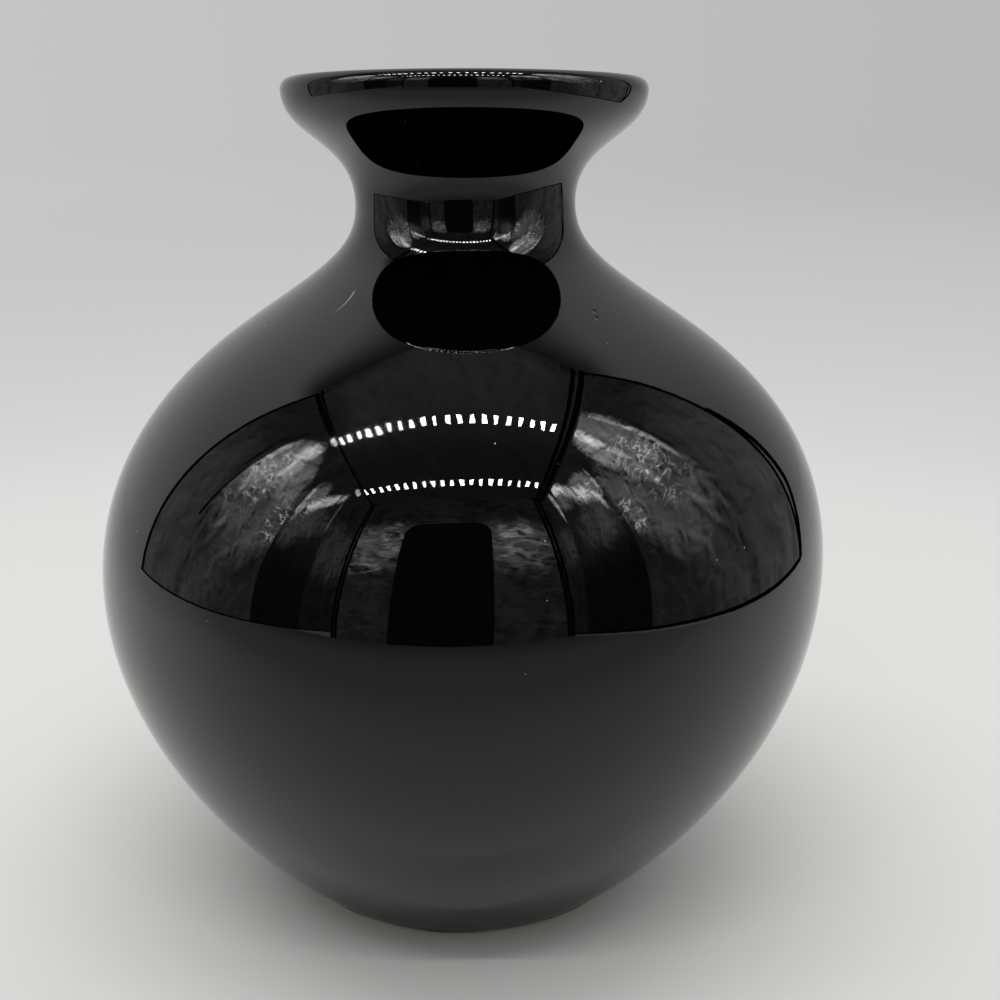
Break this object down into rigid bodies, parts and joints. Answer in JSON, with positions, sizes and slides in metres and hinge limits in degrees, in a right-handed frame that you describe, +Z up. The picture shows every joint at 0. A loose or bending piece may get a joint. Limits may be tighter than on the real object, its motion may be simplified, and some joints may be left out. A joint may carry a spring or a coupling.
{
  "type": "vase",
  "caption": "Round-bellied vase of glossy black glazed ceramic with a small turned foot, waisted neck and flared rolled lip, for holding water and cut flowers.",
  "frame": {"origin": "middle of the foot ring, on the plane that the vase stands on", "axes": "+Z up along the axis of the vase; X and Y are equal because the vase is round"},
  "size_m": [0.148, 0.148, 0.165],
  "materials": {
    "fired_clay": "bare fired clay, turned smooth, matt",
    "black_glaze": "mirror-gloss black glaze",
    "liner_glaze": "glossy black liner glaze, a little less even than outside"
  },
  "bodies": {
    "root": {"clay_body": "fired_clay", "outer_glaze": "black_glaze", "liner_glaze": "liner_glaze"}
  },
  "joints": []
}
